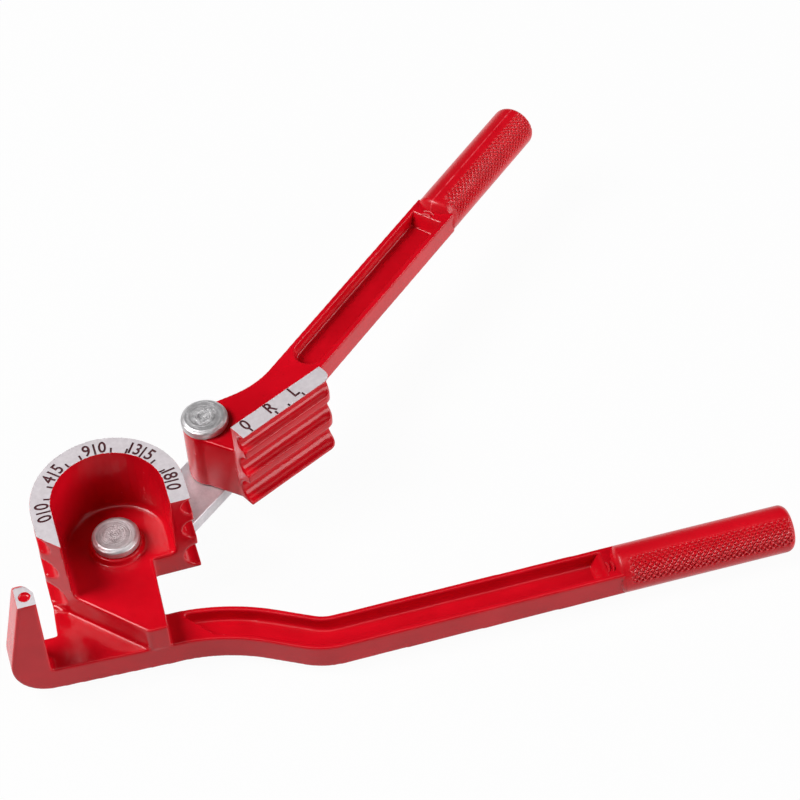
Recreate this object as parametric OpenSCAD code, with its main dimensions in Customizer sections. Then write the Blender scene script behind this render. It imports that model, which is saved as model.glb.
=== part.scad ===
// Lever tube bender for three tube sizes. The die is cast in one with the fixed handle and the shoe
// in one with the moving handle. A steel link, riveted under both, carries the shoe round the die.
// The die axis is the Z axis, the bench plane of the fixed handle is Z 0, and its grip points to +X.

/* [Tube grooves] */
// outside diameter of the small tube
tube_small = 6.35; // [5.5:0.05:7]
// outside diameter of the middle tube
tube_middle = 7.94; // [7:0.02:9]
// outside diameter of the large tube
tube_large = 9.53; // [9:0.01:10]
// room a groove leaves round its tube, on the radius
groove_ease = 0.05; // [0:0.01:0.1]
// flat land above the small groove
land_top = 0.8; // [0.6:0.1:2]
// land between the small and the middle groove
land_upper = 3.5; // [2.5:0.1:4]
// land between the middle and the large groove
land_lower = 3.6; // [2.5:0.1:4]
// land below the large groove
land_bottom = 1.4; // [1.2:0.1:2]

/* [Die] */
// radius of the die over its lands, which is the bend radius of the tube's centre line
die_radius = 24.4; // [23.5:0.1:25]
// width of the flat scale rim on top of the die wall
rim_width = 6.5; // [6.2:0.1:7]
// how much narrower the bowl is at its floor than at the rim, on the radius
bowl_draft = 0.9; // [0.3:0.1:1.2]
// radius of the fillet round the bowl floor
bowl_fillet = 1.6; // [0.8:0.1:2.5]
// thickness of the bowl floor and of the web in front of it
web_thickness = 9.6; // [8:0.1:11]
// straight run of the die wall past 180 degrees
run_right = 8.8; // [6:0.1:10]
// straight run of the die wall before 0 degrees, along its lands
run_left = 8.8; // [6:0.1:10]
// angle of the slanted wall end and web side, from the X axis
slant_angle = 46.5; // [43:0.5:50]
// distance from the die axis to the web's right side at the bowl
web_right_back = 9.4; // [8.5:0.1:10.5]
// distance from the die axis plane to the web's right side at the front
web_right_front = 8.2; // [7.5:0.1:8.4]
// radius of the round at the web's left front corner
web_round = 2.5; // [1:0.1:4]
// radius of the raised seat under the die rivet's head
seat_radius = 8.4; // [7.8:0.1:9]
// height of the raised seat above the bowl floor
seat_height = 2.2; // [1:0.1:3]

/* [Base and hook] */
// height of the base plate and of the curved beam
base_height = 9.2; // [8.5:0.1:10]
// distance from the die axis to the front of the hook
hook_front = 34.7; // [34:0.1:35.2]
// distance from the die axis to the back of the hook
hook_back = 24.4; // [24:0.1:26]
// distance from the die axis to the back edge of the base plate
base_back = 21.6; // [20.5:0.1:22]
// distance from the die axis to the base plate's edge beside the hook
floor_left = 25.2; // [24.8:0.1:26]
// room between the link and the corner of the base plate it swings past
floor_room = 0.6; // [0.4:0.1:1.5]
// thickness of the ledge between the wall's left end and the base plate, over the link
ledge_thickness = 0.6; // [0.4:0.1:1]
// length of the ledge along the base plate's edge
ledge_reach = 4; // [3.5:0.1:5]
// how far the ledge lies over the base plate
ledge_lap = 0.6; // [0.3:0.1:1]
// distance from the die axis plane to the hook's tube face
hook_inner = 29.4; // [29.2:0.05:30]
// radius of the round at the foot of the hook's tube face
foot_round = 1.4; // [0.8:0.1:1.8]
// distance from the die axis plane to the hook's outer face, at the top
hook_outer_top = 35.2; // [34:0.1:36]
// lean of the hook's outer face
hook_lean = 12.3; // [10:0.1:13]
// distance from the die axis plane to the end of the round under the hook
heel_reach = 28.2; // [27.5:0.1:29.2]
// radius of the round on the hook's top back edge
hook_round = 3; // [1.5:0.1:3.5]
// slanted cut of the hook's inner back edge, across the hook
hook_cut_across = 3.4; // [2:0.1:3.8]
// slanted cut of the hook's inner back edge, along its tube face
hook_cut_along = 5.2; // [3:0.1:6]
// radius of the round dimple in the hook's top
dimple_radius = 1.8; // [1.2:0.1:2.2]
// depth of the dimple
dimple_depth = 0.8; // [0.4:0.1:1.2]
// distance from the hook's front to the dimple's centre
dimple_inset = 4; // [3.5:0.1:5]

/* [Beam] */
// distance from the die axis to the start of the beam's curve
beam_start = 8; // [7.5:0.1:8.2]
// distance from the die axis plane to the beam's centre line at its start
beam_offset = 30.2; // [29.9:0.1:30.5]
// width of the beam
beam_width = 13; // [12.6:0.1:13.2]
// radius of the first bend, on the centre line
bend_first = 64; // [58:1:68]
// angle of the sloping part of the beam
bend_angle = 29.6; // [27:0.1:31]
// length of the sloping part of the beam
slope_length = 12.1; // [10:0.1:14]
// radius of the second bend, on the centre line
bend_second = 18.6; // [16:0.1:22]
// angle of the straight part and the grip
grip_lean = 0.7; // [0:0.1:1.2]
// length of the straight part up to the grip
beam_straight = 92; // [80:1:100]
// width of the rims beside the recess
recess_rim = 1.9; // [1.5:0.1:2.3]
// depth of the recess
recess_depth = 4.6; // [3:0.1:5]
// part of the first bend left solid before the recess, along its back rim
recess_skip_back = 5; // [4:0.5:8]
// part of the first bend left solid before the recess, along its front rim
recess_skip_front = 14; // [10:0.5:18]
// solid length between the recess and the grip
recess_stop = 6; // [4:0.1:8]

/* [Grips] */
// radius of both grips over the crests of the knurl
grip_radius = 7.7; // [7.3:0.1:8]
// depth of the knurl, which is left off the neck
knurl_depth = 0.4; // [0.2:0.1:0.8]
// length of the smooth neck between the handle and the knurl
grip_neck = 1.6; // [1:0.1:4]
// length of the fixed handle's grip
grip_fixed_length = 56; // [50:1:65]
// length of the moving handle's grip
grip_moving_length = 52.5; // [45:0.5:60]
// radius of the round at a grip's end
grip_round = 3; // [1.5:0.1:4]
// how far a grip reaches back over the end of its handle
grip_seat = 0.6; // [0.4:0.1:1.5]

/* [Shoe] */
// distance from the shoe rivet's axis to the grooved face
shoe_reach = 21.9; // [21.5:0.1:22]
// distance along the shoe from its rivet's plane to its left end
shoe_left = 0.9; // [0.5:0.1:1.5]
// distance along the shoe from its rivet's plane to its right end
shoe_right = 36.3; // [35.6:0.1:38]
// width of the flat index strip on top of the shoe
strip_width = 6.5; // [6.2:0.1:7.2]
// radius of the round at the shoe's right front corner
shoe_round = 3.6; // [2.5:0.1:4.5]
// distance along the shoe from its rivet's plane to its 0 mark
zero_mark = 3.3; // [2.5:0.1:4]
// radius of the boss round the shoe rivet
boss_radius = 7.4; // [6.8:0.1:8.2]
// height of the boss
boss_height = 22.6; // [21:0.1:24]
// how far the sides that run into the boss lie inside its round
flank_inset = 0.4; // [0.3:0.1:0.8]
// thickness of the cheek between the boss and the shoe
cheek_width = 6; // [4:0.1:8]

/* [Arm] */
// thickness of the arm
arm_thickness = 8.6; // [8:0.1:10]
// width of the arm
arm_width = 14.4; // [13.5:0.1:15]
// angle of the arm from the shoe's face
arm_angle = 15.4; // [14:0.1:17]
// where the arm's centre line passes the shoe rivet's plane, towards the shoe
arm_offset = 12.5; // [11.5:0.1:13]
// length of the arm along its centre line, from the shoe rivet's plane to the grip
arm_length = 123.5; // [115:0.5:130]
// angle of the edge between the boss and the arm
neck_angle = 16; // [14:0.5:18]
// radius of the round between that edge and the arm
neck_round = 30; // [24:1:36]
// distance along the shoe from its rivet's plane to where the arm leaves the shoe
arm_root = 35; // [33:0.5:35.5]
// distance along the arm from its start to the recess's round end
arm_recess_start = 46; // [44:0.5:52]

/* [Link and rivets] */
// room between the lands of the die and of the shoe when they face each other
closing_gap = 1; // [0.6:0.1:2]
// thickness of the link
link_thickness = 4.8; // [4:0.1:5]
// width of the link
link_width = 18; // [17:0.1:19]
// radius of a rivet's shank
shank_radius = 4; // [3.5:0.1:4.5]
// running room round a shank in a casting, on the radius
running_room = 0.05; // [0.02:0.01:0.1]
// gap between faces that turn on each other
face_gap = 0.3; // [0.25:0.05:0.4]
// radius of a rivet's head
head_radius = 7.6; // [7:0.1:8]
// thickness of a rivet's head
head_height = 3.1; // [2.5:0.1:3.5]
// height of the sloping edge of a head
head_slope = 0.9; // [0.5:0.1:1.2]
// width of the sloping edge of a head
head_edge = 1.2; // [0.8:0.1:1.6]
// radius of a washer
washer_radius = 7.2; // [6.5:0.1:8]
// thickness of a washer
washer_thickness = 1.2; // [1:0.1:1.4]
// radius of a peened tail
tail_radius = 5.6; // [5:0.1:6.2]
// height of a peened tail
tail_height = 1.9; // [1.5:0.1:2]

/* [Pose as drawn] */
// direction of the link from the X axis
link_direction = 39; // [30:1:120]
// direction of the shoe's face from the X axis
shoe_direction = 26.2; // [20:0.1:60]

/* [Hidden] */
$fn = 96;
// distance between the two rivets, which brings the shoe's 0 mark to the die
link_length = norm([die_radius + closing_gap + shoe_reach, zero_mark]);
tubes = [tube_large, tube_middle, tube_small];
groove_radius = [for (t = tubes) t / 2 + groove_ease];
groove_large_height = land_bottom + groove_radius[0];
groove_middle_height = groove_large_height + groove_radius[0] + land_lower + groove_radius[1];
groove_small_height = groove_middle_height + groove_radius[1] + land_upper + groove_radius[2];
groove_height = [groove_large_height, groove_middle_height, groove_small_height];
die_height = groove_small_height + groove_radius[2] + land_top;
top_height = base_height + die_height;
rim_inner = die_radius - rim_width;
bowl_foot = rim_inner - bowl_draft;
// how far the floor reaches into the wall so that the two are one solid
wall_overlap = 1;
floor_radius = bowl_foot + wall_overlap;
seat_top = base_height + web_thickness + seat_height;
// a length longer than any cut through the castings
beyond = 60;
// how far a cutter stands past the face it cuts
past = 1;
beam_front = beam_offset + beam_width / 2;
beam_back = beam_offset - beam_width / 2;
slant_drop = (floor_radius - die_radius) * tan(slant_angle) - run_left;
slant_end = [-die_radius + (beam_front - run_left) / tan(slant_angle), -beam_front];
web_round_centre = slant_end + web_round * [tan(slant_angle / 2), 1];
heel_radius = ((hook_outer_top - heel_reach) * cos(hook_lean) + top_height * sin(hook_lean))
  / (1 + sin(hook_lean));
heel_tangent = heel_radius * (1 + sin(hook_lean));
hook_outer_foot = hook_outer_top + top_height * tan(hook_lean);
// corner of the base plate that the link swings past with its shoe at 0 degrees
link_turn = asin(zero_mark / link_length);
floor_corner = [-die_radius,
  -die_radius * tan(link_turn) - (link_width / 2 + floor_room) / cos(link_turn)];
slope_start = [beam_start + bend_first * sin(bend_angle),
  -beam_offset - bend_first * (1 - cos(bend_angle))];
slope_end = slope_start + slope_length * [cos(bend_angle), -sin(bend_angle)];
bend_centre = slope_end + bend_second * [sin(bend_angle), cos(bend_angle)];
straight_start = bend_centre - bend_second * [sin(grip_lean), cos(grip_lean)];
grip_fixed_start = straight_start + beam_straight * [cos(grip_lean), -sin(grip_lean)];
// angle between the points of a curved side
arc_step = 1.5;
function arc(centre, radius, from, to) =
  let (count = ceil(abs(to - from) / arc_step))
  [for (i = [0:count])
    let (a = from + (to - from) * i / count)
    centre + radius * [cos(a), sin(a)]];
// one side of the beam: side is the distance to the left of its centre line
function beam_edge(side, skip, stop) = concat(
  arc([beam_start, -beam_offset - bend_first], bend_first + side, 90 - skip, 90 - bend_angle),
  arc(bend_centre, bend_second - side, -90 - bend_angle, -90 - grip_lean),
  [straight_start + (beam_straight - stop) * [cos(grip_lean), -sin(grip_lean)]
    + side * [sin(grip_lean), cos(grip_lean)]]
);
function turned(points) = [for (i = [len(points) - 1:-1:0]) points[i]];
shoe_pivot = link_length * [cos(link_direction), sin(link_direction)];
strip_back = shoe_reach - strip_width;
corner_distance = norm([shoe_left, shoe_reach]);
flank_radius = boss_radius - flank_inset;
corner_angle = atan2(-shoe_reach, -shoe_left) - acos(flank_radius / corner_distance);
cheek_touch = flank_radius * [cos(corner_angle), sin(corner_angle)];
arm_direction = [cos(arm_angle), sin(arm_angle)];
arm_side = [-sin(arm_angle), cos(arm_angle)];
arm_start = [0, -arm_offset];
arm_end = arm_start + arm_length * arm_direction;
neck_touch = flank_radius * [sin(neck_angle), cos(neck_angle)];
back_line_start = -arm_offset + arm_width / 2 / cos(arm_angle);
neck_s = (neck_touch[1] + neck_touch[0] * tan(neck_angle) - back_line_start)
  / (tan(arm_angle) + tan(neck_angle));
neck_corner = [neck_s, back_line_start + neck_s * tan(arm_angle)];
neck_turn = (arm_angle + neck_angle) / 2;
neck_leg = neck_round * tan(neck_turn);
neck_first = neck_corner + neck_leg * [-cos(neck_angle), sin(neck_angle)];
neck_last = neck_corner + neck_leg * arm_direction;
neck_centre = neck_last + neck_round * arm_side;
front_line_start = -arm_offset - arm_width / 2 / cos(arm_angle);
root_s = arm_root + strip_width;
root_front = [root_s, front_line_start + root_s * tan(arm_angle)];
recess_half = arm_width / 2 - recess_rim;
link_top = base_height - face_gap;
link_bottom = link_top - link_thickness;
boss_top = base_height + boss_height;

// grip with a smooth neck and a rounded end, standing on Z 0 with its seat below
module grip(length) {
  rotate_extrude() {
    translate([0, -grip_seat])
      square([grip_radius - knurl_depth, length + grip_seat - grip_round]);
    translate([0, grip_neck])
      square([grip_radius, length - grip_neck - grip_round]);
    square([grip_radius - grip_round, length]);
    translate([grip_radius - grip_round, length - grip_round])
      intersection() {
        circle(grip_round);
        square(grip_round);
      }
  }
}

// section of the die wall with its three grooves: x is the radius, y the height over the link
module wall_section() {
  difference() {
    union() {
      polygon([
        [rim_inner, die_height],
        [die_radius, die_height],
        [die_radius, 0],
        [bowl_foot, 0],
        [bowl_foot, web_thickness]
      ]);
      translate([bowl_foot - bowl_fillet, web_thickness])
        difference() {
          square(bowl_fillet + wall_overlap / 2);
          translate([0, bowl_fillet])
            circle(bowl_fillet);
          translate([-bowl_fillet, bowl_fillet])
            square(3 * bowl_fillet);
        }
    }
    for (i = [0:2])
      translate([die_radius, groove_height[i]])
        circle(groove_radius[i]);
  }
}

// everything in front of the slanted plane from the wall's left end to the base's front
module slant_cutter() {
  translate([-die_radius, -run_left, -past])
    rotate([0, 0, -slant_angle])
      translate([-beyond, -beyond, 0])
        cube([2 * beyond, beyond, top_height + 2 * past]);
}

module die_wall() {
  rotate_extrude(angle = 180)
    wall_section();
  rotate([90, 0, 0])
    linear_extrude(run_right)
      wall_section();
  difference() {
    rotate([90, 0, 0])
      linear_extrude(-slant_drop + past)
        mirror([1, 0])
          wall_section();
    slant_cutter();
  }
}

module web() {
  linear_extrude(web_thickness) {
    difference() {
      circle(floor_radius);
      translate([-floor_radius, -floor_radius])
        square([2 * floor_radius, floor_radius]);
    }
    polygon(concat(
      [[-floor_radius, 0], [-floor_radius, slant_drop]],
      arc(web_round_centre, web_round, -90 - slant_angle, -90),
      [[web_right_front, -beam_front], [web_right_back, -run_right]],
      [[floor_radius, -run_right], [floor_radius, 0]]
    ));
  }
}

// front view of the base plate and hook, with the round heel
module hook_profile() {
  intersection() {
    polygon([
      [-hook_outer_foot, 0],
      [beam_start, 0],
      [beam_start, base_height],
      [-hook_inner, base_height],
      [-hook_inner, top_height],
      [-hook_outer_top, top_height]
    ]);
    union() {
      translate([-heel_reach, heel_radius])
        circle(heel_radius);
      translate([-heel_reach, 0])
        square([heel_reach + beam_start, base_height]);
      translate([-hook_outer_foot, heel_tangent])
        square([hook_outer_foot, top_height - heel_tangent]);
    }
  }
  translate([-hook_inner, base_height])
    difference() {
      square(foot_round);
      translate([foot_round, foot_round])
        circle(foot_round);
    }
}

module base_and_hook() {
  intersection() {
    rotate([90, 0, 0])
      linear_extrude(beyond)
        hook_profile();
    union() {
      linear_extrude(base_height)
        polygon([
          [-hook_outer_foot, -hook_front],
          [-heel_reach, -hook_front],
          [beam_start, -beam_front],
          [beam_start, -beam_back],
          floor_corner,
          [-floor_left, -base_back],
          [-hook_outer_foot, -base_back]
        ]);
      difference() {
        translate([-hook_outer_foot, -hook_front, 0])
          cube([hook_outer_foot - hook_inner + foot_round, hook_front - hook_back, top_height]);
        translate([-hook_outer_foot - past, -hook_back - hook_round, top_height - hook_round])
          rotate([0, 90, 0])
            difference() {
              translate([-hook_round - past, 0, 0])
                cube([hook_round + past, hook_round + past, hook_outer_foot]);
              translate([0, 0, -past])
                cylinder(r = hook_round, h = hook_outer_foot + 2 * past);
            }
        translate([-hook_inner, -hook_back, 0])
          linear_extrude(top_height + past)
            polygon([
              [-hook_cut_across, 0],
              [0, -hook_cut_along],
              [foot_round + past, -hook_cut_along],
              [foot_round + past, past],
              [-hook_cut_across, past]
            ]);
        translate([-(hook_inner + hook_outer_top) / 2, -hook_front + dimple_inset,
          top_height - dimple_depth])
          cylinder(r = dimple_radius, h = dimple_depth + past);
      }
    }
  }
}

// thin ledge that closes the floor between the wall's left end and the base plate's corner
module ledge() {
  linear_extrude(ledge_thickness)
    polygon([
      [-die_radius, -run_left + wall_overlap],
      [-die_radius, floor_corner[1] - ledge_lap],
      [ledge_reach - die_radius, -run_left - ledge_reach * tan(slant_angle) - ledge_lap],
      [ledge_reach - die_radius, -run_left]
    ]);
}

module beam() {
  half = beam_width / 2;
  difference() {
    linear_extrude(base_height)
      polygon(concat(beam_edge(half, 0, 0), turned(beam_edge(-half, 0, 0))));
    translate([0, 0, base_height - recess_depth])
      linear_extrude(recess_depth + past)
        polygon(concat(
          beam_edge(half - recess_rim, recess_skip_back, recess_stop),
          turned(beam_edge(recess_rim - half, recess_skip_front, recess_stop))
        ));
  }
}

module fixed_handle() {
  color("firebrick")
    difference() {
      union() {
        translate([0, 0, base_height]) {
          die_wall();
          web();
          ledge();
          cylinder(r = seat_radius, h = web_thickness + seat_height);
        }
        base_and_hook();
        beam();
        translate([grip_fixed_start[0], grip_fixed_start[1], base_height / 2])
          rotate([0, 90, -grip_lean])
            grip(grip_fixed_length);
      }
      cylinder(r = shank_radius + running_room, h = top_height);
    }
}

// block with the three grooves: x runs along its face from the rivet's plane, y away from the die;
// its underside clears the beam that it passes over
module shoe_block() {
  difference() {
    translate([0, 0, face_gap])
      linear_extrude(die_height - face_gap)
        difference() {
          polygon([
            [-shoe_left, -shoe_reach],
            [shoe_right, -shoe_reach],
            [shoe_right, -strip_back],
            [-shoe_left, -strip_back]
          ]);
          translate([shoe_right - shoe_round, -shoe_reach + shoe_round])
            difference() {
              translate([0, -shoe_round - past])
                square(shoe_round + past);
              circle(shoe_round);
            }
        }
    for (i = [0:2])
      translate([-beyond / 2, -shoe_reach, groove_height[i]])
        rotate([0, 90, 0])
          cylinder(r = groove_radius[i], h = 2 * beyond);
  }
}

module arm_recess() {
  translate([arm_start[0], arm_start[1], boss_height - recess_depth])
    rotate([0, 0, arm_angle])
      translate([arm_recess_start, 0, 0])
        linear_extrude(recess_depth + past) {
          circle(recess_half);
          translate([0, -recess_half])
            square([arm_length - arm_recess_start - recess_stop, 2 * recess_half]);
        }
}

module arm() {
  half = arm_width / 2 * arm_side;
  difference() {
    translate([0, 0, boss_height - arm_thickness])
      linear_extrude(arm_thickness)
        difference() {
          polygon([
            cheek_touch,
            [-shoe_left, -strip_back],
            [arm_root, -strip_back],
            root_front,
            arm_end - half,
            arm_end + half,
            neck_last,
            neck_first,
            neck_touch,
            [0, 0]
          ]);
          translate(neck_centre)
            circle(neck_round);
        }
    arm_recess();
  }
}

module moving_handle() {
  color("firebrick")
    translate([shoe_pivot[0], shoe_pivot[1], base_height])
      rotate([0, 0, shoe_direction])
        difference() {
          union() {
            shoe_block();
            arm();
            cylinder(r = boss_radius, h = boss_height);
            linear_extrude(boss_height)
              polygon([
                cheek_touch,
                [-shoe_left, -shoe_reach + groove_radius[0] + past],
                [-shoe_left + cheek_width, -strip_back],
                [0, 0]
              ]);
            translate([arm_end[0], arm_end[1], boss_height - arm_thickness / 2])
              rotate([0, 90, arm_angle])
                grip(grip_moving_length);
          }
          translate([0, 0, -past])
            cylinder(r = shank_radius + running_room, h = boss_height + 2 * past);
        }
}

module link_plate() {
  color("lightsteelblue")
    translate([0, 0, link_bottom])
      rotate([0, 0, link_direction])
        difference() {
          union() {
            translate([0, -link_width / 2, 0])
              cube([link_length, link_width, link_thickness]);
            for (x = [0, link_length])
              translate([x, 0, 0])
                cylinder(r = link_width / 2, h = link_thickness);
          }
          for (x = [0, link_length])
            translate([x, 0, -past])
              cylinder(r = shank_radius, h = link_thickness + 2 * past);
        }
}

// headed rivet whose head rests over a face at that height
module rivet(seat) {
  tail_top = link_bottom - washer_thickness;
  under = seat + face_gap;
  color("silver")
    rotate_extrude()
      polygon([
        [0, tail_top - tail_height],
        [tail_radius - tail_height / 2, tail_top - tail_height],
        [tail_radius, tail_top - tail_height / 2],
        [tail_radius, tail_top],
        [shank_radius, tail_top],
        [shank_radius, under],
        [head_radius, under],
        [head_radius, under + head_height - head_slope],
        [head_radius - head_edge, under + head_height],
        [0, under + head_height]
      ]);
}

module washer() {
  color("silver")
    translate([0, 0, link_bottom - washer_thickness])
      difference() {
        cylinder(r = washer_radius, h = washer_thickness);
        translate([0, 0, -past])
          cylinder(r = shank_radius, h = washer_thickness + 2 * past);
      }
}

module die_rivet() {
  rivet(seat_top);
}

module shoe_rivet() {
  translate(shoe_pivot)
    rivet(boss_top);
}

module die_washer() {
  washer();
}

module shoe_washer() {
  translate(shoe_pivot)
    washer();
}

fixed_handle();
moving_handle();
link_plate();
die_rivet();
shoe_rivet();
die_washer();
shoe_washer();
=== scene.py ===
import math

import bmesh
import bpy
from mathutils import Matrix, Vector


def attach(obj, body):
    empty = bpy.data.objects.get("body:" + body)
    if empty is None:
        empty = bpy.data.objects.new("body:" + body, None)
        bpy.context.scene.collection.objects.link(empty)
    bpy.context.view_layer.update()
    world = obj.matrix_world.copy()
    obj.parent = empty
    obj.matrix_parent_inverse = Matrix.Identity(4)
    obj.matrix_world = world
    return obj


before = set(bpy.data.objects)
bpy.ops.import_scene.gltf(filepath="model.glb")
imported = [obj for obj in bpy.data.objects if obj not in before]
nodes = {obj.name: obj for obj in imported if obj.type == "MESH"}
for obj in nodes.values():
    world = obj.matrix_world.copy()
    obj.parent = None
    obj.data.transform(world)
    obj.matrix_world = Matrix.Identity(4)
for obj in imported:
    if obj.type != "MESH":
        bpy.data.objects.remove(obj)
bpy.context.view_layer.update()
mm = 0.001
shoePivot = (36.8484, 29.8392)     # axis of the link's far rivet, in mm
weldWithin = 0.002 * mm            # closes the seams of a CAD mesh
noiseSpan = (0.3, 0.7)             # where most of a noise's values lie
patchSpan = (0.35, 0.7)
print("bender: frame loaded,", len(nodes), "CAD nodes")


def feed(tree, node, inputs):
    for name, value in inputs.items():
        if isinstance(value, bpy.types.NodeSocket):
            tree.links.new(value, node.inputs[name])
        else:
            node.inputs[name].default_value = value


def addNode(tree, kind, inputs=None, **settings):
    node = tree.nodes.new(kind)
    for name, value in settings.items():
        setattr(node, name, value)
    feed(tree, node, inputs or {})
    return node


def calc(tree, operation, a, b=0.0):
    return addNode(tree, "ShaderNodeMath", {0: a, 1: b}, operation=operation).outputs[0]


def vectorCalc(tree, operation, a, b=(0, 0, 0)):
    return addNode(tree, "ShaderNodeVectorMath", {0: a, 1: b}, operation=operation).outputs


def scaled(tree, vector, factor):
    return addNode(tree, "ShaderNodeVectorMath", {0: vector, "Scale": factor}, operation="SCALE").outputs[0]


def spread(tree, value, low, high, toLow=0.0, toHigh=1.0, smooth=False):
    return addNode(tree, "ShaderNodeMapRange",
                   {"Value": value, "From Min": low, "From Max": high, "To Min": toLow, "To Max": toHigh},
                   interpolation_type="SMOOTHSTEP" if smooth else "LINEAR").outputs[0]


def noise(tree, place, perMetre, detail=2.0, rough=0.5):
    return addNode(tree, "ShaderNodeTexNoise",
                   {"Vector": place, "Scale": perMetre, "Detail": detail, "Roughness": rough}).outputs["Fac"]


def stretchedNoise(tree, place, perMetre, rough):
    stretch = addNode(tree, "ShaderNodeMapping", {"Vector": place, "Scale": perMetre})
    return noise(tree, stretch.outputs[0], 1, 4, rough)


def blendColour(tree, share, a, b):
    return addNode(tree, "ShaderNodeMix", {0: share, 6: a, 7: b}, data_type="RGBA").outputs[2]


def bump(tree, height, strength, depth, under=None):
    inputs = {"Height": height, "Strength": strength, "Distance": depth}
    if under is not None:
        inputs["Normal"] = under
    return addNode(tree, "ShaderNodeBump", inputs).outputs[0]


def newFinish(name):
    finish = bpy.data.materials.new(name)
    finish.use_nodes = True
    tree = finish.node_tree
    return finish, tree, tree.nodes["Principled BSDF"], addNode(tree, "ShaderNodeTexCoord").outputs["Object"]


paint = {
    "red": (0.63, 0.0030, 0.012, 1),          # fresh gloss enamel
    "deepRed": (0.54, 0.0022, 0.009, 1),      # where it lies thick
    "thinRedAndEdgeHighlight": (0.78, 0.085, 0.105, 1),       # drawn thin over an edge, and lighter pink there as a painted highlight
    "roughness": (0.14, 0.24), "gripRoughness": (0.26, 0.36), "ior": 1.38,
    "patchesPerMetre": 70,
    "wearAndHighlightPerMetre": 420, "wearAndHighlightSpan": (0.35, 0.65), "wearAndHighlightFrom": (0.56, 0.68),
    "peelPerMetre": 900, "peelBump": 0.03, "peelDepth": 0.3 * mm,    # orange peel
    "castPerMetre": 240, "castBump": 0.025, "castDepth": 0.5 * mm,   # sand-like casting under it
}

# faces ground bare after painting: the scale rim, the hook's top and the index strip
ground = {
    "bright": (0.67, 0.620, 0.645, 1), "dull": (0.57, 0.520, 0.545, 1),
    "roughness": (0.48, 0.66), "metal": 0.3,
    "from": 42.45 * mm, "facing": (0.80, 0.92),
    "mottlePerMetre": 500, "scratchPerMetre": (6000, 500, 500), "bump": 0.25, "depth": 0.1 * mm,
}


def groundShare(tree, place, skin):
    height = addNode(tree, "ShaderNodeSeparateXYZ", {0: place}).outputs["Z"]
    upward = addNode(tree, "ShaderNodeSeparateXYZ", {0: skin["True Normal"]}).outputs["Z"]
    return calc(tree, "MULTIPLY", calc(tree, "GREATER_THAN", height, ground["from"]),
                spread(tree, upward, *ground["facing"]))


def castPaint(name, roughness, hasGround):
    finish, tree, shader, place = newFinish(name)
    skin = addNode(tree, "ShaderNodeNewGeometry").outputs
    patches = noise(tree, place, paint["patchesPerMetre"], 3)
    colour = blendColour(tree, spread(tree, patches, *patchSpan), paint["red"], paint["deepRed"])
    # convex edges, broken up by noise, turn lighter pink: partly paint worn thin, partly a painted highlight
    # along the edges
    wornAndHighlit = calc(tree, "MULTIPLY", spread(tree, skin["Pointiness"], *paint["wearAndHighlightFrom"]),
                spread(tree, noise(tree, place, paint["wearAndHighlightPerMetre"], 4), *paint["wearAndHighlightSpan"]))
    colour = blendColour(tree, wornAndHighlit, colour, paint["thinRedAndEdgeHighlight"])
    peel = noise(tree, place, paint["peelPerMetre"], 2)
    cast = noise(tree, place, paint["castPerMetre"], 5, 0.6)
    gloss = spread(tree, cast, *noiseSpan, *roughness)
    normal = bump(tree, peel, paint["peelBump"], paint["peelDepth"])
    normal = bump(tree, cast, paint["castBump"], paint["castDepth"], normal)
    if hasGround:
        bare = groundShare(tree, place, skin)
        mottle = spread(tree, noise(tree, place, ground["mottlePerMetre"], 5, 0.7), *patchSpan)
        scratch = stretchedNoise(tree, place, ground["scratchPerMetre"], 0.65)
        colour = blendColour(tree, bare, colour, blendColour(tree, mottle, ground["bright"], ground["dull"]))
        dull = spread(tree, scratch, *noiseSpan, *ground["roughness"])
        gloss = addNode(tree, "ShaderNodeMix", {0: bare, 2: gloss, 3: dull}).outputs[0]
        normal = bump(tree, scratch, calc(tree, "MULTIPLY", bare, ground["bump"]), ground["depth"], normal)
        feed(tree, shader, {"Metallic": calc(tree, "MULTIPLY", bare, ground["metal"])})
    feed(tree, shader, {"Base Color": colour, "Roughness": gloss, "Normal": normal, "IOR": paint["ior"]})
    return finish


rivetMetal = {
    "bright": (0.78, 0.77, 0.78, 1), "dull": (0.30, 0.29, 0.30, 1), "roughness": (0.32, 0.55), "metal": 0.7,
    "ringsPerMetre": 1500, "ringWobble": (0.12, 0.12, 0.12), "ringShare": 0.5,
    "pitsPerMetre": 480, "pitsWithin": 4.2 * mm, "pitsAtRim": 0.25,
    "shadeSpan": (-0.20, 0.14), "bump": 0.9, "depth": 0.5 * mm,
    "washerScratch": (500, 500, 3000),
}
linkMetal = {
    "bright": (0.74, 0.72, 0.75, 1), "dull": (0.58, 0.56, 0.59, 1), "roughness": (0.34, 0.50), "metal": 0.5,
    "scratch": (400, 3000, 3000),
}
plainMetal = {"mottlePerMetre": 380, "mottleBump": 0.2, "mottleDepth": 0.2 * mm,
              "scratchBump": 0.12, "scratchDepth": 0.1 * mm}


def plainSteel(name, metal, scratchPerMetre):
    finish, tree, shader, place = newFinish(name)
    mottle = noise(tree, place, plainMetal["mottlePerMetre"], 6, 0.7)
    scratch = stretchedNoise(tree, place, scratchPerMetre, 0.6)
    normal = bump(tree, mottle, plainMetal["mottleBump"], plainMetal["mottleDepth"])
    normal = bump(tree, scratch, plainMetal["scratchBump"], plainMetal["scratchDepth"], normal)
    feed(tree, shader, {
        "Base Color": blendColour(tree, spread(tree, mottle, *patchSpan), metal["bright"], metal["dull"]),
        "Roughness": spread(tree, scratch, *noiseSpan, *metal["roughness"]),
        "Metallic": metal["metal"], "Normal": normal})
    return finish


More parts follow.
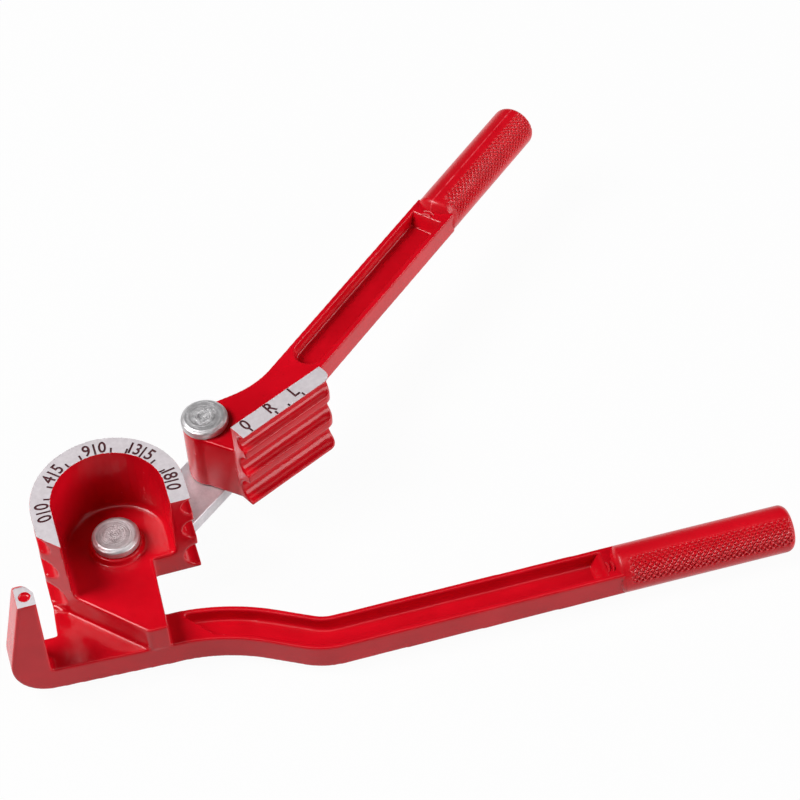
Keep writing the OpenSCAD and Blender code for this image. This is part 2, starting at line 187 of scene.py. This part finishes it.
def rivetSteel(name, centre):
    # headed cold: rings round the axis, a pitted middle
    finish, tree, shader, place = newFinish(name)
    offset = vectorCalc(tree, "SUBTRACT", place, (centre[0] * mm, centre[1] * mm, 0))["Vector"]
    flat = vectorCalc(tree, "MULTIPLY", offset, (1, 1, 0))["Vector"]
    radius = vectorCalc(tree, "LENGTH", flat)["Value"]
    ringPlace = addNode(tree, "ShaderNodeCombineXYZ", {"X": radius}).outputs[0]
    wobble = vectorCalc(tree, "MULTIPLY", place, rivetMetal["ringWobble"])["Vector"]
    ringPlace = vectorCalc(tree, "ADD", ringPlace, wobble)["Vector"]
    rings = noise(tree, ringPlace, rivetMetal["ringsPerMetre"], 3, 0.6)
    pits = noise(tree, place, rivetMetal["pitsPerMetre"], 6, 0.75)
    pitsWithin = rivetMetal["pitsWithin"]
    inner = spread(tree, radius, pitsWithin, 0.5 * pitsWithin, rivetMetal["pitsAtRim"], 1.0)
    pitting = calc(tree, "MULTIPLY", calc(tree, "SUBTRACT", pits, 0.5), inner)
    turning = calc(tree, "MULTIPLY", calc(tree, "SUBTRACT", rings, 0.5), rivetMetal["ringShare"])
    rough = calc(tree, "ADD", pitting, turning)
    shade = spread(tree, rough, *rivetMetal["shadeSpan"])
    feed(tree, shader, {
        "Base Color": blendColour(tree, shade, rivetMetal["dull"], rivetMetal["bright"]),
        "Roughness": spread(tree, pits, *noiseSpan, *rivetMetal["roughness"]),
        "Metallic": rivetMetal["metal"],
        "Normal": bump(tree, rough, rivetMetal["bump"], rivetMetal["depth"])})
    return finish


# numerals and letters: the red paint left in the engravings, darkened far below the body's red as painted
# shade in the recesses
numeralShadePaint = {"thick": (0.11, 0.009, 0.017, 1), "thin": (0.055, 0.005, 0.010, 1), "roughness": (0.5, 0.7),
       "patchesPerMetre": 900}


def numeralShadePaintFinish(name):
    finish, tree, shader, place = newFinish(name)
    patches = noise(tree, place, numeralShadePaint["patchesPerMetre"], 3)
    feed(tree, shader, {"Base Color": blendColour(tree, patches, numeralShadePaint["thick"], numeralShadePaint["thin"]),
                        "Roughness": spread(tree, patches, *noiseSpan, *numeralShadePaint["roughness"])})
    return finish


finishes = {
    "fixed": castPaint("redPaintFixed", paint["roughness"], True),
    "moving": castPaint("redPaintMoving", paint["roughness"], True),
    "grip": castPaint("redPaintGrip", paint["gripRoughness"], False),
    "die_rivet": rivetSteel("rivetSteelDie", (0, 0)),
    "shoe_rivet": rivetSteel("rivetSteelShoe", shoePivot),
    "washer": plainSteel("washerSteel", rivetMetal, rivetMetal["washerScratch"]),
    "link": plainSteel("zincLink", linkMetal, linkMetal["scratch"]),
    "numeralShadePaint": numeralShadePaintFinish("scaleNumeralShadePaint"),
}
print("bender: finishes made")


def geometryTree(name):
    tree = bpy.data.node_groups.new(name, "GeometryNodeTree")
    for way in ("INPUT", "OUTPUT"):
        tree.interface.new_socket("Geometry", in_out=way, socket_type="NodeSocketGeometry")
    return tree, addNode(tree, "NodeGroupInput").outputs[0], addNode(tree, "NodeGroupOutput").inputs[0]


def vectorSocket(sockets):
    return [s for s in sockets if s.type == "VECTOR"][0]


def blurredPlace(tree, place, steps, weight):
    blur = addNode(tree, "GeometryNodeBlurAttribute", {"Iterations": steps, "Weight": weight},
                   data_type="FLOAT_VECTOR")
    tree.links.new(place, vectorSocket(blur.inputs))
    return vectorSocket(blur.outputs)


def filletFill(tree, place, normal, soft, filletFrom):
    # an inner corner is where a wide blur moves the skin outward
    shift = vectorCalc(tree, "SUBTRACT", blurredPlace(tree, place, soft["filletSteps"], 1.0), place)["Vector"]
    outward = vectorCalc(tree, "DOT_PRODUCT", shift, normal)["Value"]
    flat = vectorCalc(tree, "MULTIPLY", place, (1, 1, 0))["Vector"]
    away = vectorCalc(tree, "LENGTH", flat)["Value"]
    hollow = calc(tree, "MULTIPLY", calc(tree, "GREATER_THAN", outward, 0.0),
                  spread(tree, away, filletFrom, filletFrom + soft["filletFade"]))
    return scaled(tree, shift, hollow)


def softeningTree(name, soft, filletFrom=None):
    # rounds the edges below the ground faces and makes the skin slightly uneven
    tree, start, end = geometryTree(name)
    place = addNode(tree, "GeometryNodeInputPosition").outputs[0]
    normal = addNode(tree, "GeometryNodeInputNormal").outputs[0]
    height = addNode(tree, "ShaderNodeSeparateXYZ", {0: place}).outputs["Z"]
    loose = calc(tree, "LESS_THAN", height, soft["crispFrom"])
    rounded = blurredPlace(tree, place, soft["steps"], loose)
    shape = addNode(tree, "GeometryNodeSetPosition", {"Geometry": start, "Position": rounded}).outputs[0]
    if filletFrom:
        fill = filletFill(tree, place, normal, soft, filletFrom)
        shape = addNode(tree, "GeometryNodeSetPosition", {"Geometry": shape, "Offset": fill}).outputs[0]
    uneven = calc(tree, "SUBTRACT", noise(tree, place, soft["unevenPerMetre"], 3), 0.5)
    uneven = calc(tree, "MULTIPLY", calc(tree, "MULTIPLY", uneven, loose), soft["uneven"])
    shape = addNode(tree, "GeometryNodeSetPosition",
                    {"Geometry": shape, "Offset": scaled(tree, normal, uneven)}).outputs[0]
    tree.links.new(shape, end)
    return tree


def edgeShadingTree(name, angle):
    tree, start, end = geometryTree(name)
    steep = calc(tree, "GREATER_THAN", addNode(tree, "GeometryNodeInputMeshEdgeAngle").outputs[0], angle)
    faces = addNode(tree, "GeometryNodeSetShadeSmooth", {"Geometry": start}, domain="FACE")
    creases = addNode(tree, "GeometryNodeSetShadeSmooth", {"Geometry": faces.outputs[0], "Selection": steep,
                                                           "Shade Smooth": False}, domain="EDGE")
    tree.links.new(creases.outputs[0], end)
    return tree


edgeShading = edgeShadingTree("edgeShading", math.radians(38))


def addModifier(obj, name, kind, **settings):
    modifier = obj.modifiers.new(name, kind)
    for key, value in settings.items():
        setattr(modifier, key, value)
    return modifier


def meshObject(name, points, faces, finish=None):
    mesh = bpy.data.meshes.new(name)
    mesh.from_pydata([Vector(p) * mm for p in points], [], faces)
    mesh.update()
    obj = bpy.data.objects.new(name, mesh)
    bpy.context.scene.collection.objects.link(obj)
    if finish:
        mesh.materials.append(finish)
    return obj


def cutterOnly(obj, body):
    # follows its handle, so the cut stays in place when the handle swings
    obj.hide_render = True
    obj.hide_viewport = True
    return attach(obj, body)


# glyphs: one closed mesh per character, laid on a face and sunk into it
marks = {"size": 6.3, "narrow": 0.84, "bold": 0.12, "sink": 0.35, "above": 0.3, "top": 42.62,
         "tickWidth": 0.66, "joinWithin": 0.001}


def glyphMesh(letter):
    curve = bpy.data.curves.new("glyph", "FONT")
    curve.body = letter
    curve.size = marks["size"]
    curve.extrude = (marks["sink"] + marks["above"]) / 2
    curve.offset = marks["bold"]
    curve.align_x = "CENTER"
    curve.resolution_u = 6
    obj = bpy.data.objects.new("glyph", curve)
    bpy.context.scene.collection.objects.link(obj)
    mesh = bpy.data.meshes.new_from_object(obj.evaluated_get(bpy.context.evaluated_depsgraph_get()))
    bpy.data.objects.remove(obj)
    solid = bmesh.new()
    solid.from_mesh(mesh)
    bmesh.ops.remove_doubles(solid, verts=solid.verts, dist=marks["joinWithin"])
    bmesh.ops.recalc_face_normals(solid, faces=solid.faces)
    solid.verts.index_update()
    points = [Vector((v.co.x * marks["narrow"], v.co.y, v.co.z)) for v in solid.verts]
    faces = [tuple(v.index for v in f.verts) for f in solid.faces]
    solid.free()
    return points, faces


def tickMesh(length):
    x, z = marks["tickWidth"] / 2, (marks["sink"] + marks["above"]) / 2
    corners = ((-x, 0), (x, 0), (x, length), (-x, length))
    points = [Vector((*corner, level)) for level in (-z, z) for corner in corners]
    return points, [(3, 2, 1, 0), (4, 5, 6, 7), (0, 1, 5, 4), (1, 2, 6, 5), (2, 3, 7, 6), (3, 0, 4, 7)]


def gather(pieces, place):
    points, faces = [], []
    for (own, polygons), spot in pieces:
        start = len(points)
        points += [place @ spot @ p for p in own]
        faces += [tuple(i + start for i in f) for f in polygons]
    return points, faces


def flatSpot(x, y, turn):
    lift = marks["top"] + (marks["above"] - marks["sink"]) / 2
    return Matrix.Translation((x, y, lift)) @ Matrix.Rotation(turn, 4, "Z")


# scale on the die: a label splits round its own tick, short ticks stand to both sides
dieScale = {
    "labels": [("0", "0", 180), ("4", "5", 135), ("9", "0", 90), ("13", "5", 45), ("18", "0", 0)],
    "baseRadius": 18.5, "letterGap": 7.0, "pairGap": 5.8, "letterStep": 6.6,
    "tickFrom": 18.05, "tickLong": 4.6, "tickShort": 2.0, "sideTick": 15,
}


def dieMarks():
    pieces = []

    def spotAt(angle, radius):
        a = math.radians(angle)
        return flatSpot(radius * math.cos(a), radius * math.sin(a), a - math.pi / 2)

    for left, right, angle in dieScale["labels"]:
        pieces.append((tickMesh(dieScale["tickLong"]), spotAt(angle, dieScale["tickFrom"])))
        for i, letter in enumerate(reversed(left)):
            gap = dieScale["letterGap" if len(left) == 1 else "pairGap"]
            turn = angle + gap + i * dieScale["letterStep"]
            pieces.append((glyphMesh(letter), spotAt(turn, dieScale["baseRadius"])))
        for i, letter in enumerate(right):
            turn = angle - dieScale["letterGap"] - i * dieScale["letterStep"]
            pieces.append((glyphMesh(letter), spotAt(turn, dieScale["baseRadius"])))
        for side in (-1, 1):
            turn = angle + side * dieScale["sideTick"]
            if 0 < turn < 180:
                pieces.append((tickMesh(dieScale["tickShort"]), spotAt(turn, dieScale["tickFrom"])))
    return gather(pieces, Matrix.Identity(4))


# index strip on the shoe, in the shoe's own directions: letter, its tick, the letter's place
shoe = {"turn": 26.2, "face": -21.9, "letters": [("0", 3.3, 3.2), ("R", 13.7, 13.3), ("L", 24.9, 23.2)],
        "letterBack": 1.9, "tickLong": 1.5, "tickIn": 0.2, "smallTicks": [18.6], "smallTick": 1.0}
shoePlace = Matrix.Translation((*shoePivot, 0)) @ Matrix.Rotation(math.radians(shoe["turn"]), 4, "Z")


def shoeMarks():
    pieces = []
    tickFrom = shoe["face"] + shoe["tickIn"]
    for letter, tick, along in shoe["letters"]:
        pieces.append((glyphMesh(letter), flatSpot(along, shoe["face"] + shoe["letterBack"], 0)))
        pieces.append((tickMesh(shoe["tickLong"]), flatSpot(tick, tickFrom, 0)))
    for along in shoe["smallTicks"]:
        pieces.append((tickMesh(shoe["smallTick"]), flatSpot(along, tickFrom, 0)))
    return gather(pieces, shoePlace)


# grips: knurled, with two smooth strips (middle angle, half width, fade) along each
grips = {
    "fixed": {"start": (151.087, -48.078, 4.6), "turn": -0.7, "length": 56.0},
    "moving": {"start": (134.7197, 100.6194, 27.5), "turn": 41.6, "length": 52.5},
    "crest": 7.76, "root": 7.3, "around": 24, "along": 2.02, "fine": 14,
    "padGain": 1.45, "smoothLevel": 0.75, "strips": [(139, 51, 9), (319, 51, 9)],
    "throat": 4.2, "throatFrom": -3.4, "throatRings": 12, "neck": -0.6, "neckRadius": 7.58,
    "plain": 0.4, "fade": 2.6,
    "endRound": 2.8, "endRings": 14, "endFade": (3, 6), "endShrink": (0.75, 0.5, 0.25), "crown": 0.12,
    "cutRadius": 12, "cutPast": 5, "cutSides": 64,
}


def gripPlace(grip):
    return (Matrix.Translation(grip["start"]) @ Matrix.Rotation(math.radians(grip["turn"]), 4, "Z")
            @ Matrix.Rotation(math.pi / 2, 4, "Y"))


def ringPoints(place, radius, along, count):
    # radius is a function of the angle
    points = []
    for i in range(count):
        a = 2 * math.pi * i / count
        r = radius(a)
        points.append(place @ Vector((r * math.cos(a), r * math.sin(a), along)))
    return points


def ringFaces(first, second, count):
    return [(first + c, first + (c + 1) % count, second + (c + 1) % count, second + c) for c in range(count)]


def gripCutter(body, grip):
    # takes the CAD's plain grip away, so the knurled one can stand in its place
    place, sides = gripPlace(grip), grips["cutSides"]
    points = []
    for along in (0.0, grip["length"] + grips["cutPast"]):
        points += ringPoints(place, lambda a: grips["cutRadius"], along, sides)
    faces = [tuple(range(sides - 1, -1, -1)), tuple(range(sides, 2 * sides))]
    faces += ringFaces(0, sides, sides)
    return cutterOnly(meshObject(body + "GripCut", points, faces), body)


def saw(x):
    return abs((x % 1.0) * 2 - 1)


def eased(x):
    x = min(1.0, max(0.0, x))
    return x * x * (3 - 2 * x)


def knurlHeight(angle, along, keep):
    around = angle / (2 * math.pi) * grips["around"]
    step = along / grips["along"]
    ridge = min(saw(around + step), saw(around - step))
    share = keep
    for middle, half, fade in grips["strips"]:
        off = abs((math.degrees(angle) - middle + 180) % 360 - 180)
        share *= eased((off - half) / fade)
    level = share * eased(ridge * grips["padGain"]) + (1 - share) * grips["smoothLevel"]
    return grips["root"] + (grips["crest"] - grips["root"]) * level


def gripRings(grip):
    # place along the axis, radius or change of radius, share of the knurl (None on a plain ring)
    rings = []
    throatFrom, neck, straight = grips["throatFrom"], grips["neck"], grip["length"] - grips["endRound"]
    for i in range(grips["throatRings"] + 1):
        share = i / grips["throatRings"]
        swell = grips["throat"] + (grips["neckRadius"] - grips["throat"]) * math.sin(math.pi / 2 * share)
        rings.append((throatFrom + (neck - throatFrom) * share, swell, None))
    rows = int((straight - neck) / (grips["along"] / grips["fine"]))
    for i in range(1, rows + 1):
        along = neck + (straight - neck) * i / rows
        rings.append((along, 0.0, eased((along - grips["plain"]) / grips["fade"])))
    fadeFrom, fadeOver = grips["endFade"]
    for i in range(1, grips["endRings"] + 1):
        a = math.pi / 2 * i / grips["endRings"]
        rings.append((straight + grips["endRound"] * math.sin(a), -grips["endRound"] * (1 - math.cos(a)),
                      1 - eased((i - fadeFrom) / fadeOver)))
    return rings


def knurledGrip(name, grip):
    # a throat grows out of the handle's end, the knurl starts on it and runs to the round end
    place, columns = gripPlace(grip), grips["around"] * grips["fine"]
    points = []
    for along, radius, keep in gripRings(grip):
        if keep is None:
            points += ringPoints(place, lambda a: radius, along, columns)
        else:
            points += ringPoints(place, lambda a: radius + knurlHeight(a, along, keep), along, columns)
    for shrink in grips["endShrink"]:                 # end face in rings, slightly crowned
        inner = (grips["crest"] - grips["endRound"]) * shrink
        along = grip["length"] + grips["crown"] * (1 - shrink)
        points += ringPoints(place, lambda a: inner, along, columns)
    last = len(points) - columns
    faces = []
    for first in range(0, last, columns):
        faces += ringFaces(first, first + columns, columns)
    faces.append(tuple(last + c for c in range(columns)))
    faces.append(tuple(columns - 1 - c for c in range(columns)))
    obj = meshObject(name, points, faces, finishes["grip"])
    addModifier(obj, "edges", "NODES", node_group=edgeShading)
    return obj


# necks: the recess ends in a ramp, with two short curved ribs (along, across) on it
necks = {
    "fixed": {"top": 9.2, "half": 4.6, "rampFrom": -9.8, "ribs": [(-4.7, -1.6), (-3.1, -1.6)]},
    "moving": {"top": 31.8, "half": 5.3, "rampFrom": -9.0, "ribs": [(-5.4, 0.2), (-3.8, 0.2)]},
    "depth": 4.6, "rampTo": -5.6, "into": 0.4, "under": 0.12, "proud": 0.03, "base": 0.8,
    "rampRows": 28, "rampColumns": 12,
    "bow": 3.4, "bowHalf": 36, "ribWide": 0.46, "ribHigh": 0.55, "ribEnds": (0.04, 0.92),
    "ribRings": 16, "ribSides": 8,
}


def rampLevel(neck, along):
    rise = eased((along - neck["rampFrom"]) / (necks["rampTo"] - neck["rampFrom"]))
    low = necks["depth"] + necks["under"]
    return (low + necks["proud"]) * rise - low


def recessRamp(name, place, neck, finish):
    rows, columns = necks["rampRows"], necks["rampColumns"]
    side = neck["half"] + necks["into"]
    points, faces = [], []
    for isBase in (False, True):
        for i in range(rows + 1):
            along = neck["rampFrom"] + (necks["rampTo"] - neck["rampFrom"]) * i / rows
            level = -necks["depth"] - necks["base"] if isBase else rampLevel(neck, along)
            for j in range(columns + 1):
                points.append(place @ Vector((along, -side + 2 * side * j / columns, level)))
    wide, sheet = columns + 1, (rows + 1) * (columns + 1)
    for i in range(rows):
        for j in range(columns):
            a, b = i * wide + j, (i + 1) * wide + j
            faces += [(a, b, b + 1, a + 1), (sheet + a + 1, sheet + b + 1, sheet + b, sheet + a)]
    edge = list(range(wide)) + [i * wide + columns for i in range(1, rows + 1)]
    edge += [rows * wide + j for j in range(columns - 1, -1, -1)] + [i * wide for i in range(rows - 1, 0, -1)]
    for a, b in zip(edge, edge[1:] + edge[:1]):
        faces.append((a, b, sheet + b, sheet + a))
    obj = meshObject(name, points, faces, finish)
    addModifier(obj, "edges", "NODES", node_group=edgeShading)
    return obj


def neckRibs(name, place, neck):
    bow, half, rings, sides = (necks[k] for k in ("bow", "bowHalf", "ribRings", "ribSides"))
    thinFrom, thinOver = necks["ribEnds"]
    points, faces = [], []
    for along, across in neck["ribs"]:
        start = len(points)
        for i in range(rings + 1):
            a = math.radians(-half + 2 * half * i / rings)
            fade = math.sin(math.pi * (thinFrom + thinOver * i / rings)) ** 0.5
            middle = rampLevel(neck, along - bow + bow * math.cos(a))
            for s in range(sides):
                t = 2 * math.pi * s / sides
                r = bow + necks["ribWide"] * fade * math.cos(t)
                level = middle + necks["ribHigh"] * fade * math.sin(t)
                reach = along - bow + r * math.cos(a)
                points.append(place @ Vector((reach, across + r * math.sin(a), level)))
        for i in range(rings):
            faces += ringFaces(start + i * sides, start + (i + 1) * sides, sides)
        faces.append(tuple(start + s for s in range(sides)))
        faces.append(tuple(start + rings * sides + sides - 1 - s for s in range(sides)))
    obj = meshObject(name, points, faces, finishes["grip"])
    addModifier(obj, "edges", "NODES", node_group=edgeShading)
    return obj


# castings: voxel skin, edges softened below the ground faces, fillets in the recesses and at the hook's foot
castings = {
    "voxel": 0.3 * mm,
    "soft": {"steps": 7, "crispFrom": 42.42 * mm, "unevenPerMetre": 130, "uneven": 0.10 * mm,
             "filletSteps": 24, "filletFade": 3 * mm},
    "filletFrom": {"fixed": 46 * mm, "moving": 78 * mm},     # from the die axis, past the grooves
}
castSoftening = {body: softeningTree(body + "Softening", castings["soft"], castings["filletFrom"][body])
                 for body in ("fixed", "moving")}


def coat(node, finish):
    node.data.materials.clear()
    node.data.materials.append(finish)
    addModifier(node, "joined", "WELD", merge_threshold=weldWithin)


def dressCasting(node, finish, softening, cutter, engraving):
    coat(node, finish)
    addModifier(node, "gripOff", "BOOLEAN", operation="DIFFERENCE", solver="EXACT", object=cutter)
    addModifier(node, "skin", "REMESH", mode="VOXEL", voxel_size=castings["voxel"], use_smooth_shade=True)
    addModifier(node, "soft", "NODES", node_group=softening)
    addModifier(node, "numerals", "BOOLEAN", operation="DIFFERENCE", solver="MANIFOLD", object=engraving,
                material_mode="TRANSFER")
    addModifier(node, "edges", "NODES", node_group=edgeShading)


# the engraved faces take the numerals' dark paint, which carries painted shade
dieCutter = cutterOnly(meshObject("dieNumeralCut", *dieMarks(), finishes["numeralShadePaint"]), "fixed")
shoeCutter = cutterOnly(meshObject("shoeLetterCut", *shoeMarks(), finishes["numeralShadePaint"]), "moving")
for body, engraving in (("fixed", dieCutter), ("moving", shoeCutter)):
    dressCasting(nodes[body + "_handle"], finishes[body], castSoftening[body],
                 gripCutter(body, grips[body]), engraving)
    grip = knurledGrip(body + "Grip", grips[body])
    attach(grip, body)
    print("bender:", body, "handle dressed")

for body in ("fixed", "moving"):
    start, neck = grips[body]["start"], necks[body]
    place = (Matrix.Translation((start[0], start[1], neck["top"]))
             @ Matrix.Rotation(math.radians(grips[body]["turn"]), 4, "Z"))
    ramp = recessRamp(body + "NeckRamp", place, neck, finishes[body])
    ribs = neckRibs(body + "NeckRibs", place, neck)
    for piece in (ramp, ribs):
        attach(piece, body)
print("bender: necks before the grips made")

rivets = {
    "voxel": 0.16 * mm,
    "soft": {"steps": 3, "crispFrom": 1.0, "unevenPerMetre": 420, "uneven": 0.14 * mm},
}
rivetSoftening = softeningTree("rivetSoftening", rivets["soft"])
for name in ("die_rivet", "shoe_rivet"):
    node = nodes[name]
    coat(node, finishes[name])
    addModifier(node, "skin", "REMESH", mode="VOXEL", voxel_size=rivets["voxel"], use_smooth_shade=True)
    addModifier(node, "soft", "NODES", node_group=rivetSoftening)

flats = {"mergeWithin": math.radians(0.5), "edge": 0.35 * mm, "edgeSteps": 3, "edgeFrom": math.radians(50)}
for name in ("link_plate", "die_washer", "shoe_washer"):
    node = nodes[name]
    coat(node, finishes["link" if name == "link_plate" else "washer"])
    addModifier(node, "flat", "DECIMATE", decimate_type="DISSOLVE", angle_limit=flats["mergeWithin"])
    addModifier(node, "eased", "BEVEL", width=flats["edge"], segments=flats["edgeSteps"],
                limit_method="ANGLE", angle_limit=flats["edgeFrom"], use_clamp_overlap=False)
    addModifier(node, "edges", "NODES", node_group=edgeShading)
print("bender: rivets, washers and link dressed")

# studio: a pale floor, a soft panel at each side, and one overhead that only the gloss shows
studio = {
    "floorSize": 6.0, "floorBelow": 3.2 * mm, "floorColour": (0.62, 0.62, 0.62, 1), "glow": 0.96,
    "panels": [("right", -22, 22, 17.0, 1.5, 0.6, True),     # azimuth, elevation, watts, width, height, fills
               ("left", 168, 51, 22.0, 0.7, 0.7, True),
               ("top", -90, 84, 5.0, 1.6, 0.6, False)],
    "panelAway": 1.4, "aim": (0.05, 0.0, 0.02),
    "sky": 0.02, "horizon": 0.15, "horizonSpan": (0.2, 0.5),
}


def floorFinish():
    finish, tree, shader, place = newFinish("paleFloor")
    tree.nodes.remove(shader)
    path = addNode(tree, "ShaderNodeLightPath")
    seen = calc(tree, "MAXIMUM", path.outputs["Is Camera Ray"],
                calc(tree, "MAXIMUM", path.outputs["Is Glossy Ray"], path.outputs["Is Transmission Ray"]))
    matte = addNode(tree, "ShaderNodeBsdfDiffuse", {"Color": studio["floorColour"]})
    glow = addNode(tree, "ShaderNodeEmission", {"Color": (1, 1, 1, 1), "Strength": 1.0})
    mix = addNode(tree, "ShaderNodeMixShader", {0: calc(tree, "MULTIPLY", seen, studio["glow"])})
    tree.links.new(matte.outputs[0], mix.inputs[1])
    tree.links.new(glow.outputs[0], mix.inputs[2])
    tree.links.new(mix.outputs[0], tree.nodes["Material Output"].inputs[0])
    return finish


half = studio["floorSize"] / 2 / mm
low = -studio["floorBelow"] / mm
floor = meshObject("floor", [(-half, -half, low), (half, -half, low), (half, half, low), (-half, half, low)],
                   [(0, 1, 2, 3)], floorFinish())

for name, azimuth, elevation, power, width, height, fills in studio["panels"]:
    lamp = bpy.data.lights.new(name + "Panel", "AREA")
    lamp.shape = "RECTANGLE"
    lamp.size, lamp.size_y = width, height
    lamp.energy = power
    holder = bpy.data.objects.new(name + "Panel", lamp)
    a, e = math.radians(azimuth), math.radians(elevation)
    away = Vector((math.cos(a) * math.cos(e), math.sin(a) * math.cos(e), math.sin(e)))
    holder.location = Vector(studio["aim"]) + away * studio["panelAway"]
    holder.rotation_euler = (math.pi / 2 - e, 0, a + math.pi / 2)
    holder.visible_diffuse = fills
    bpy.context.scene.collection.objects.link(holder)

world = bpy.data.worlds.new("studioWorld")
world.use_nodes = True
bpy.context.scene.world = world
tree = world.node_tree
direction = addNode(tree, "ShaderNodeTexCoord").outputs["Generated"]
rise = addNode(tree, "ShaderNodeSeparateXYZ", {0: direction}).outputs["Z"]
fade = spread(tree, rise, *studio["horizonSpan"], studio["horizon"], studio["sky"], smooth=True)
feed(tree, tree.nodes["Background"], {"Strength": fade, "Color": (1, 1, 1, 1)})

# camera as the photograph was taken
cameraSet = {"place": (-0.03438, -0.60206, 0.7394), "azimuth": -12.109, "elevation": 48.079, "roll": -4.869,
             "lens": 133.297}
az, el, roll = (math.radians(cameraSet[k]) for k in ("azimuth", "elevation", "roll"))
back = Vector((math.sin(az) * math.cos(el), -math.cos(az) * math.cos(el), math.sin(el)))
right = Vector((math.cos(az), math.sin(az), 0))
up = back.cross(right)
cameraData = bpy.data.cameras.new("photoCamera")
cameraData.lens = cameraSet["lens"]
cameraData.sensor_width = 36.0
cameraData.clip_start, cameraData.clip_end = 0.01, 50
camera = bpy.data.objects.new("photoCamera", cameraData)
axes = Matrix((right * math.cos(roll) + up * math.sin(roll),
               up * math.cos(roll) - right * math.sin(roll), back))
camera.matrix_world = Matrix.Translation(cameraSet["place"]) @ axes.transposed().to_4x4()
bpy.context.scene.collection.objects.link(camera)
bpy.context.scene.camera = camera
bpy.context.scene.view_settings.view_transform = "Standard"
print("bender: studio and camera set")
